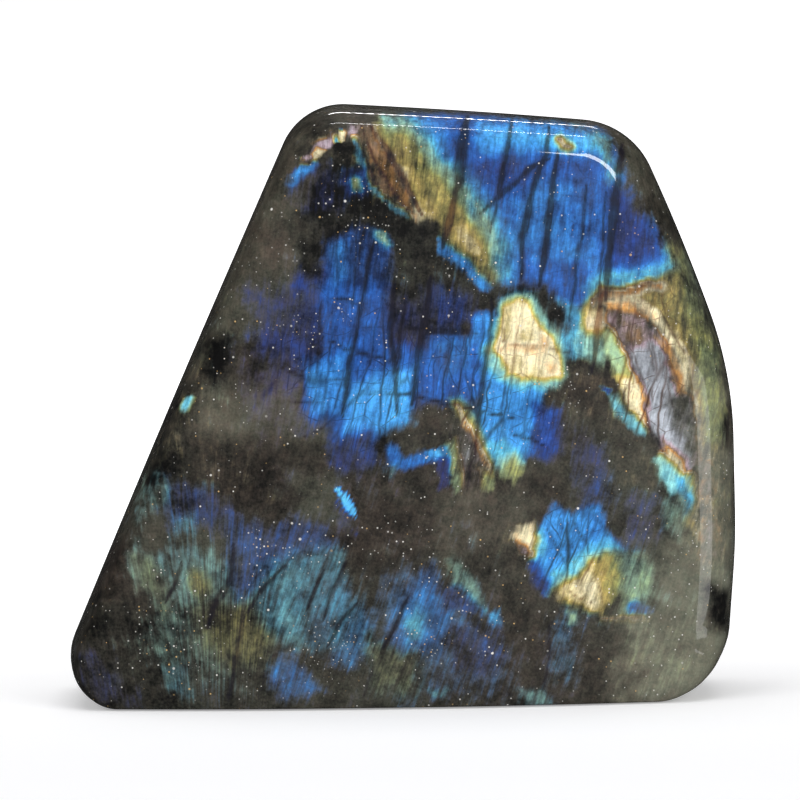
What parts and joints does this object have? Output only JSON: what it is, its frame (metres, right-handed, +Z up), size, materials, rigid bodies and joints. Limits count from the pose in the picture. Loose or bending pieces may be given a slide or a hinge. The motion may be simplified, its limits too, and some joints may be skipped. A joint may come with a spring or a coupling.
{
  "type": "polished free-form labradorite",
  "caption": "Free-standing block of labradorite, ground and polished all over, with a sawn flat base that it stands on and one broad face turned to show its colour.",
  "frame": {"origin": "under the middle of the block, on the surface that its sawn base stands on", "axes": "+X to the right along the block's width, +Y from the coloured face to the back, +Z up from the sawn base"},
  "size_m": [0.1104, 0.036, 0.0983],
  "materials": {
    "labradorite": "polished"
  },
  "bodies": {
    "root": {"labradorite_block": "labradorite"}
  },
  "joints": []
}
